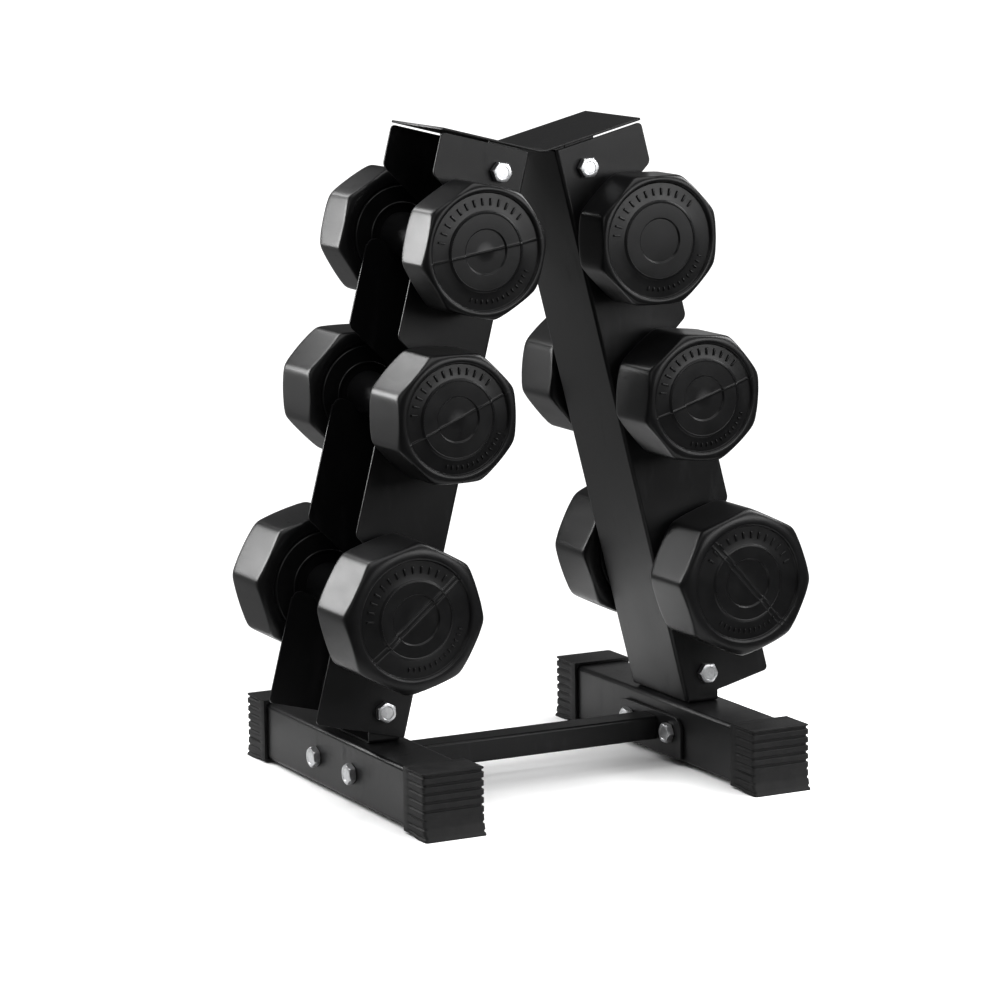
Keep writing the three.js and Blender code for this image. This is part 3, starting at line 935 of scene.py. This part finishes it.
def build_caps():
    master = end_cap()
    for side, sign in SIDES.items():
        for end, end_sign in ENDS.items():
            piece = copy_of(master, mirror(sign, end_sign))
            finish(piece, f"cap_{side}_{end}", RUBBER, "rack", f"foot.{side}.cap_{end}")
    bpy.data.objects.remove(master)


# ---- turned shapes ---------------------------------------------------------------

def turned(name, profile, steps):
    """A profile of (radius, along) points, spun about the Y axis."""
    piece = outline(name, [(radius, along, 0) for radius, along in profile])
    edit(piece, "VERT")
    bpy.ops.mesh.select_all(action="SELECT")
    bpy.ops.mesh.spin(steps=steps, angle=2 * math.pi, center=(0, 0, 0), axis=(0, 1, 0))
    done()
    clean(piece, 0.000004)
    return piece


def press_flats(piece, count, apothem, sharpness, crowd, within=None):
    """Squeezes a turned shape into a prism with rounded corners, one of them at +X."""
    for vertex in piece.data.vertices:
        x, y, z = vertex.co
        radius = math.hypot(x, z)
        if radius < 0.1 * MM or (within and not within[0] < y < within[1]):
            continue
        angle = math.atan2(z, x)
        angle -= crowd / count * math.sin(count * angle)
        total = 1
        for i in range(count):
            flat = math.pi * (2 * i + 1) / count
            reach = math.cos(angle - flat) * radius / apothem
            if reach > 0.3:
                total += reach ** sharpness
        radius /= total ** (1 / sharpness)
        vertex.co = (radius * math.cos(angle), y, radius * math.sin(angle))
    piece.data.update()


def place_along(piece, centre, turn=0):
    """Turns a piece about its Y axis and moves it to its centre."""
    piece.data.transform(Matrix.Translation(centre) @ Matrix.Rotation(-turn, 4, "Y"))
    piece.data.update()


# ---- bolts and nuts --------------------------------------------------------------

HEX_HALF = 9.5 * MM           # half of the size across flats
HEAD_THICK = 7.5 * MM
NUT_THICK = 9 * MM
THREAD_PITCH = 1.75 * MM
THREAD_DEPTH = 0.55 * MM
THREAD_LENGTH = 24 * MM
HEX_OVER = HEX_HALF / math.cos(math.pi / 6)


def hex_rim(face, inward):
    """The turned corner of a hexagon at one face, from its rim inwards."""
    rim = HEX_HALF * 0.97
    return [(rim, face), (rim + 0.7 * MM, face + inward * 0.25 * MM),
            (HEX_OVER * 1.02, face + inward * 1.3 * MM)]


def bolt(length):
    """A hexagon bolt along Y: its head starts at y = 0 and its shaft runs to -length."""
    chamfer = list(reversed(hex_rim(HEAD_THICK, -1)))
    under = [(BOLT, 0), (HEX_HALF * 0.95, 0), (HEX_HALF * 0.97, 0.4 * MM),
             (HEX_OVER * 1.06, 0.5 * MM), (HEX_OVER * 1.06, HEAD_THICK / 2)]
    dome = [(HEX_HALF * 0.72, HEAD_THICK + 0.25 * MM), (HEX_HALF * 0.66, HEAD_THICK - 0.15 * MM),
            (HEX_HALF * 0.3, HEAD_THICK - 0.05 * MM), (0, HEAD_THICK)]
    turns = int(min(THREAD_LENGTH, length - MM) / THREAD_PITCH)
    thread = [(0, -length), (BOLT - 1.2 * MM, -length)]
    for i in range(turns):
        start = -length + MM * 0.6 + i * THREAD_PITCH
        thread += [(BOLT - THREAD_DEPTH, start), (BOLT, start + THREAD_PITCH * 0.4),
                   (BOLT, start + THREAD_PITCH * 0.55)]
    thread.append((BOLT - THREAD_DEPTH, thread[-1][1] + THREAD_PITCH * 0.4))
    piece = turned("bolt", thread + under + chamfer + dome, 72)
    press_flats(piece, 6, HEX_HALF, 220, 0.7, within=(0.45 * MM, HEAD_THICK + MM))
    select_only(piece)
    bpy.ops.object.shade_smooth_by_angle(angle=math.radians(28))
    return piece


def nut():
    """A hexagon nut along Y from y = 0 to its thickness, with a threaded bore."""
    near = hex_rim(0, 1)
    far = list(reversed(hex_rim(NUT_THICK, -1)))
    bore = BOLT + 0.3 * MM
    profile = [(bore + MM * 0.6, 0), *near, (HEX_OVER * 1.06, NUT_THICK / 2), *far,
               (bore + MM * 0.6, NUT_THICK), (bore, NUT_THICK - MM * 0.6), (bore, MM * 0.6),
               (bore + MM * 0.6, 0)]
    piece = turned("nut", profile, 72)
    press_flats(piece, 6, HEX_HALF, 220, 0.7)
    select_only(piece)
    bpy.ops.object.shade_smooth_by_angle(angle=math.radians(28))
    return piece


def build_fasteners():
    rng = random.Random(7)
    masters = {}
    nut_master = nut()
    for group in ("top", "low", "foot"):
        for side in SIDES:
            for end in ENDS:
                tag = f"{group}_{side}_{end}"
                low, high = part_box(f"bolt.{tag}")
                nut_low, nut_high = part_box(f"nut.{tag}")
                spread = high - low
                along = 0 if group == "foot" else 1
                # the nut sits at the bolt's tail, so the head is at the other end
                nut_middle = (nut_low + nut_high) / 2
                middle = (low + high) / 2
                ahead = 1 if nut_middle[along] < middle[along] else -1
                direction = Vector((ahead, 0, 0)) if along == 0 else Vector((0, ahead, 0))
                shaft = spread[along] - HEAD_THICK
                key = round(shaft, 5)
                if key not in masters:
                    masters[key] = bolt(shaft)
                seat = Vector(middle)
                tip = high[along] if ahead > 0 else low[along]
                seat[along] = tip - ahead * HEAD_THICK
                turn = ACROSS.rotation_difference(direction).to_matrix().to_4x4()
                spin = Matrix.Rotation(math.radians(rng.uniform(0, 60)), 4, "Y")
                move = Matrix.Translation(seat) @ turn @ spin
                finish(copy_of(masters[key], move), f"bolt_{tag}", ZINC, "rack", f"bolt.{tag}")
                seat = Vector(nut_middle)
                seat[along] = nut_low[along] if ahead > 0 else nut_high[along]
                spin = Matrix.Rotation(math.radians(rng.uniform(0, 60)), 4, "Y")
                move = Matrix.Translation(seat) @ turn @ spin
                finish(copy_of(nut_master, move), f"nut_{tag}", ZINC, "rack", f"nut.{tag}")
    for master in (*masters.values(), nut_master):
        bpy.data.objects.remove(master)


# ---- dumbbells -------------------------------------------------------------------

HANDLE = 16.7 * MM
COLLAR = 20.5 * MM
COLLAR_LENGTH = 8 * MM
HEAD_START = 68.5 * MM
HEAD_SIDES = 8
PLUG_RADIUS = 21.5 * MM
PLUG_THICK = 4 * MM
PLUG_DEPTH = 1.2 * MM
SKIN = 3 * MM
HEAD_CHAMFER = 7 * MM
RIDGE_HEIGHT = 0.5 * MM
RIDGE_HALF = 0.75 * MM
RIDGE_REACH = 4 * MM          # depth of the face that ridges can cross
RIDGE_FADE = 4 * MM
DOUBLE = 2.6 * MM             # each of two ridges from the middle line

# half size across flats, length of a head, and for each side how far the dumbbell is
# turned and where mould ridges cross its faces
DUMBBELLS = {
    "top": (65 * MM, 56 * MM, {"left": (9, (0,)), "right": (22.5, ())}),
    "middle": (64 * MM, 72.5 * MM, {"left": (22.5, (0,)), "right": (17.5, (0,))}),
    "bottom": (72 * MM, 74.5 * MM, {"left": (39, (-DOUBLE, DOUBLE)),
                                    "right": (-48, (-DOUBLE, DOUBLE))}),
}
# radii of a face's steps: the disc in the middle, the plateau round it, the marked ring
RINGS = {
    "top": (22.4 * MM, 40.2 * MM, 58.6 * MM),
    "middle": (22.6 * MM, 40.2 * MM, 55.4 * MM),
    "bottom": (25 * MM, 40.2 * MM, 59.6 * MM),
}
DISC_LOW = 3.0 * MM           # depths below the face's rim
PLATEAU_LOW = 1.0 * MM
TROUGH_LOW = 2.0 * MM         # at the plateau; it falls away outwards
TROUGH_OUTER = 3.3 * MM
CREST = 3.2 * MM              # from the marked ring out to the top of the rim
SHOULDER = 14 * MM            # length of the rounding from the rim to the corners
INNER_SHOULDER = 12 * MM
TURN_STEPS = 9


def step(radius, low, high, width=0.9 * MM):
    """A rounded step in a face at a radius, from one height to another."""
    shares = ((-0.5, 0), (-0.25, 0.12), (0, 0.5), (0.25, 0.88), (0.5, 1))
    return [(radius + width * a, low + (high - low) * b) for a, b in shares]


def raised_ring(radius, floor, height, width=1.6 * MM):
    """A small half-round ring on a face."""
    shares = ((-0.5, 0), (-0.35, 0.65), (0, 1), (0.35, 0.65), (0.5, 0))
    return [(radius + width * a, floor + height * b) for a, b in shares]


def front_face(rings, face):
    """The face of a head from its axis out: disc, plateau, marked ring and rim."""
    disc, plateau, ring = rings
    disc_at = face - DISC_LOW
    plateau_at = face - PLATEAU_LOW
    trough_at = face - TROUGH_LOW
    trough_end = face - TROUGH_OUTER
    return [(0, disc_at + 0.2 * MM), (disc * 0.5, disc_at + 0.15 * MM),
            *step(disc, disc_at, plateau_at, 1.5 * MM),
            ((disc + plateau) / 2, plateau_at),
            *raised_ring(plateau - 1.8 * MM, plateau_at - 0.15 * MM, 0.6 * MM),
            *step(plateau, plateau_at - 0.25 * MM, trough_at, 1.5 * MM),
            ((plateau + ring) / 2, (trough_at + trough_end) / 2),
            *step(ring, trough_end, face - 0.5 * MM, 1.8 * MM)]


def shoulder(start, end, face, length):
    """A quarter turn from the top of a rim, at one radius, out to another."""
    turns = [math.pi / 2 * i / TURN_STEPS for i in range(TURN_STEPS + 1)]
    return [(start + (end - start) * math.sin(t), face + length * (1 - math.cos(t)))
            for t in turns]


def rim(apothem, rings, face):
    """The rounded rim between a face and the flats, from the face outwards."""
    corner = apothem / math.cos(math.pi / HEAD_SIDES) * 1.03
    crest = rings[2] + CREST
    return [(crest - 1.4 * MM, face - 0.12 * MM),
            *shoulder(crest, corner, face, -SHOULDER)]


def inner_face(apothem):
    """The face towards the handle, from the flats inwards."""
    corner = apothem / math.cos(math.pi / HEAD_SIDES) * 1.03
    start = HEAD_START
    return [*reversed(shoulder(apothem * 0.9, corner, start, INNER_SHOULDER)),
            *[(r, start + 1.1 * MM * h) for r, h in groove(apothem * 0.8, 1.8 * MM)],
            (apothem * 0.66, start),
            *[(r, start - 0.9 * MM * h) for r, h in groove(apothem * 0.5, 1.6 * MM)],
            (COLLAR + 3.2 * MM, start), (COLLAR + 1.4 * MM, start - 0.4 * MM),
            (COLLAR + 0.4 * MM, start - 1.4 * MM), (COLLAR, start - 2.8 * MM)]


def groove(radius, half):
    """Radii from the outside in across a rounded groove, with its depth share."""
    shares = ((1, 0), (0.6, 0.75), (0, 1), (-0.6, 0.75), (-1, 0))
    return [(radius + half * a, depth) for a, depth in shares]


def handle_half():
    """From the collar to the middle of the grip."""
    collar_end = HEAD_START - COLLAR_LENGTH
    points = [(COLLAR, collar_end + 1.2 * MM), (COLLAR - 0.4 * MM, collar_end + 0.3 * MM),
              (COLLAR - 1.3 * MM, collar_end), (HANDLE + 0.9 * MM, collar_end - 0.1 * MM),
              (HANDLE + 0.2 * MM, collar_end - 0.8 * MM), (HANDLE, collar_end - 2 * MM)]
    for i in range(2):
        centre = collar_end - (5 + 3.4 * i) * MM
        points += [(HANDLE, centre + 0.9 * MM), (HANDLE - 0.45 * MM, centre + 0.3 * MM),
                   (HANDLE - 0.45 * MM, centre - 0.3 * MM), (HANDLE, centre - 0.9 * MM)]
    points += [(HANDLE, 35 * MM), (HANDLE, 15 * MM)]
    return points


def skin_profile(apothem, length, rings):
    """The closed section of the skin: front pole, outside, filling hole, inside."""
    face = HEAD_START + length
    half = [*front_face(rings, face), *rim(apothem, rings, face), *inner_face(apothem),
            *handle_half()]
    outside = [(r, -y) for r, y in half] + [(r, y) for r, y in reversed(half)]
    hole = PLUG_RADIUS + 0.3 * MM
    outside = [point for point in outside if point[1] < 0 or point[0] > hole + 0.1 * MM]
    inner_end = face - PLUG_DEPTH - PLUG_THICK - 0.3 * MM
    cavity = (apothem - SKIN - HEAD_CHAMFER) / math.cos(math.pi / HEAD_SIDES) + 0.5 * MM
    bar = HANDLE - SKIN
    start = HEAD_START + SKIN
    inside = [(hole, face - PLUG_DEPTH), (hole, inner_end), (cavity, inner_end),
              (cavity, start), (bar, start), (bar, -start), (cavity, -start),
              (cavity, -inner_end), (0, -inner_end)]
    return outside + inside


def skin(tier, side):
    apothem, length, turns = DUMBBELLS[tier]
    turn, ridges = turns[side]
    piece = turned("skin", skin_profile(apothem, length, RINGS[tier]), 176)
    press_flats(piece, HEAD_SIDES, apothem, 52, 0.72)
    raise_ridges(piece, ridges, RINGS[tier], HEAD_START + length)
    place_along(piece, axis_of(tier, side), math.radians(turn))
    select_only(piece)
    bpy.ops.object.shade_smooth_by_angle(angle=math.radians(32))
    return piece


def raise_ridges(piece, ridges, rings, face):
    """Raises the mould's parting lines across both faces of a dumbbell."""
    for offset in ridges:
        for share in (-2, -1, -0.5, 0, 0.5, 1, 2):
            slice_at(piece, (0, 0, offset + share * RIDGE_HALF), (0, 0, 1))
    mesh = piece.data
    normals = [vertex.normal.copy() for vertex in mesh.vertices]
    fade_from = rings[2] + CREST
    for vertex, normal in zip(mesh.vertices, normals):
        x, y, z = vertex.co
        if abs(y) < face - RIDGE_REACH or normal.y * y <= 0:
            continue
        fade = min(1, max(0, (fade_from - math.hypot(x, z)) / RIDGE_FADE))
        height = sum(math.exp(-((z - offset) / RIDGE_HALF) ** 2) for offset in ridges)
        vertex.co.y += math.copysign(RIDGE_HEIGHT * min(1, height) * fade, y)
    mesh.update()


def plug(tier, side):
    """The round plug in the rear face, with a dished middle."""
    apothem, length, turns = DUMBBELLS[tier]
    outer = HEAD_START + length - PLUG_DEPTH
    r = PLUG_RADIUS
    profile = [(0, outer - PLUG_THICK), (r - 0.6 * MM, outer - PLUG_THICK),
               (r, outer - PLUG_THICK + 0.6 * MM), (r, outer - 0.7 * MM),
               (r - 0.2 * MM, outer - 0.2 * MM), (r - 0.8 * MM, outer),
               (r * 0.80, outer), *[(rad, outer - 0.5 * MM * h)
                                    for rad, h in groove(r * 0.72, 0.8 * MM)],
               (r * 0.5, outer), (r * 0.3, outer - 0.25 * MM), (0, outer - 0.35 * MM)]
    piece = turned("plug", profile, 96)
    place_along(piece, axis_of(tier, side))
    select_only(piece)
    bpy.ops.object.shade_smooth_by_angle(angle=math.radians(32))
    return piece


def tick():
    """One small raised block for the ring round a face, standing on y = 0 towards -Y."""
    piece = cube("tick", (-0.5, -0.5, -0.5), (0.5, 0.5, 0.5))
    pick(piece, "FACE", lambda face: face.normal.y < -0.9)
    bpy.ops.mesh.inset(thickness=0.18)
    bpy.ops.transform.translate(value=(0, -0.06, 0))
    done()
    return piece


def ticks(tier, side):
    """Plain raised marks on both faces: long ones over the top, short ones below."""
    apothem, length, turns = DUMBBELLS[tier]
    turn = turns[side][0]
    master = tick()
    ring = (RINGS[tier][1] + RINGS[tier][2]) / 2
    marks = [(38 + 10.5 * i, 1.9, 7.2) for i in range(13)]
    marks += [(247 + 7 * i, 1.3, 4.2) for i in range(13)]
    pieces = []
    for end in (-1, 1):
        floor = end * (HEAD_START + length - TROUGH_OUTER)
        for angle, width, tall in marks:
            size = Matrix.Diagonal((width * MM, 4 * MM, tall * MM, 1))
            flip = Matrix.Rotation(math.pi if end > 0 else 0, 4, "Z")
            about = Matrix.Rotation(-math.radians(angle - 90 + turn / 3), 4, "Y")
            move = about @ Matrix.Translation((0, floor, ring)) @ flip @ size
            pieces.append(copy_of(master, move))
    bpy.data.objects.remove(master)
    select_only(*pieces)
    bpy.ops.object.join()
    piece = bpy.context.object
    place_along(piece, axis_of(tier, side))
    soften(piece, 0.3 * MM, 2)
    return piece


def build_dumbbells():
    for tier in TIERS:
        for side in SIDES:
            tag = f"{tier}_{side}"
            body = f"dumbbell_{tag}"
            finish(skin(tier, side), f"skin_{tag}", VINYL, body, f"dumbbell.{tag}.shell")
            finish(plug(tier, side), f"plug_{tag}", PLUG, body, f"dumbbell.{tag}.plug")
            finish(ticks(tier, side), f"marks_{tag}", VINYL, body)
            filling = CAD[f"dumbbell.{tag}.filling"]
            filling.data.materials.clear()
            filling.data.materials.append(CEMENT)


# ---- floor -----------------------------------------------------------------------

FLOOR = 0.46


def build_floor():
    bpy.ops.object.select_all(action="DESELECT")
    bpy.ops.mesh.primitive_circle_add(radius=FLOOR, vertices=96, fill_type="NGON")
    floor = bpy.context.object
    floor.name = "floor"
    floor.data.materials.append(studio_paper())


add_camera()
add_lights()
build_floor()
build_towers()
joiner()
build_brackets()
build_feet()
build_crossbar()
build_caps()
build_fasteners()
build_dumbbells()
